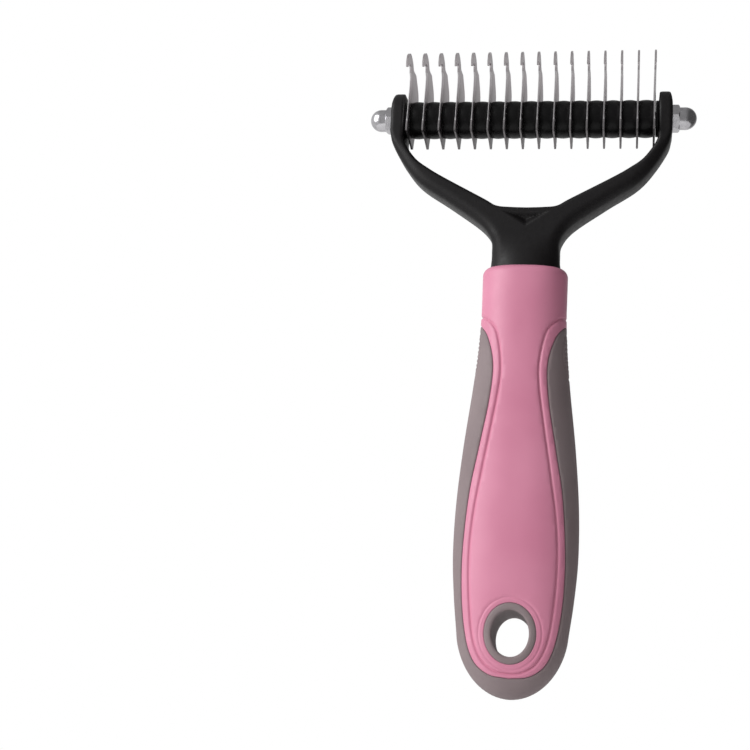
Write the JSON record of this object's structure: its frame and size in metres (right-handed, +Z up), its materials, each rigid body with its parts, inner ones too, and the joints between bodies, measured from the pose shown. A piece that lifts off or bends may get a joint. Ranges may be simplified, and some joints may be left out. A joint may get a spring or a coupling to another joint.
{
  "type": "dematting comb",
  "caption": "Dematting comb: a forked yoke on a two-tone soft-grip handle with a hanging hole, holding a row of hooked steel blades and spacers on an axle with dome nuts.",
  "frame": {"origin": "the middle of the grip, on the collar's centre line, where the hand holds the comb", "axes": "+Z up the comb from the grip to the blades; +X along the blade axle, to the right seen from the side that the hooks point to; +Y away from the hooks"},
  "size_m": [0.094, 0.0237, 0.1823],
  "materials": {
    "handle_plastic": "fine satin moulded pink",
    "grip_rubber": "matt warm grey soft grip",
    "yoke_nylon": "matt black, finely grained",
    "spacer_plastic": "black, slight sheen",
    "blade_steel": "ground stainless steel",
    "rod_steel": "bright threaded rod",
    "nut_plating": "bright plated steel"
  },
  "bodies": {
    "handle": {"handle_core": "handle_plastic", "grip_band": "grip_rubber", "hang_hole_liner": "grip_rubber", "yoke_frame": "yoke_nylon", "axle_rod": "rod_steel"},
    "blade_stack": {"blade_01": "blade_steel", "blade_02": "blade_steel", "blade_03": "blade_steel", "blade_04": "blade_steel", "blade_05": "blade_steel", "blade_06": "blade_steel", "blade_07": "blade_steel", "blade_08": "blade_steel", "blade_09": "blade_steel", "blade_10": "blade_steel", "blade_11": "blade_steel", "blade_12": "blade_steel", "blade_13": "blade_steel", "blade_14": "blade_steel", "blade_15": "blade_steel", "blade_16": "blade_steel", "spacer_01": "spacer_plastic", "spacer_02": "spacer_plastic", "spacer_03": "spacer_plastic", "spacer_04": "spacer_plastic", "spacer_05": "spacer_plastic", "spacer_06": "spacer_plastic", "spacer_07": "spacer_plastic", "spacer_08": "spacer_plastic", "spacer_09": "spacer_plastic", "spacer_10": "spacer_plastic", "spacer_11": "spacer_plastic", "spacer_12": "spacer_plastic", "spacer_13": "spacer_plastic", "spacer_14": "spacer_plastic", "spacer_15": "spacer_plastic"},
    "left_nut": {"left_nut_hex": "nut_plating", "left_nut_dome": "nut_plating"},
    "right_nut": {"right_nut_hex": "nut_plating", "right_nut_dome": "nut_plating"}
  },
  "joints": [
    {"name": "blade_stack_swivel", "type": "hinge", "parent": "handle", "child": "blade_stack", "pos_m": [0, 0, 0.1048], "axis": [1, 0, 0], "range_deg": [-60, 20]},
    {"name": "left_nut_travel", "type": "slide", "parent": "handle", "child": "left_nut", "axis": [-1, 0, 0], "range_m": [0, 0.0049]},
    {"name": "right_nut_travel", "type": "slide", "parent": "handle", "child": "right_nut", "axis": [1, 0, 0], "range_m": [0, 0.0049]}
  ]
}
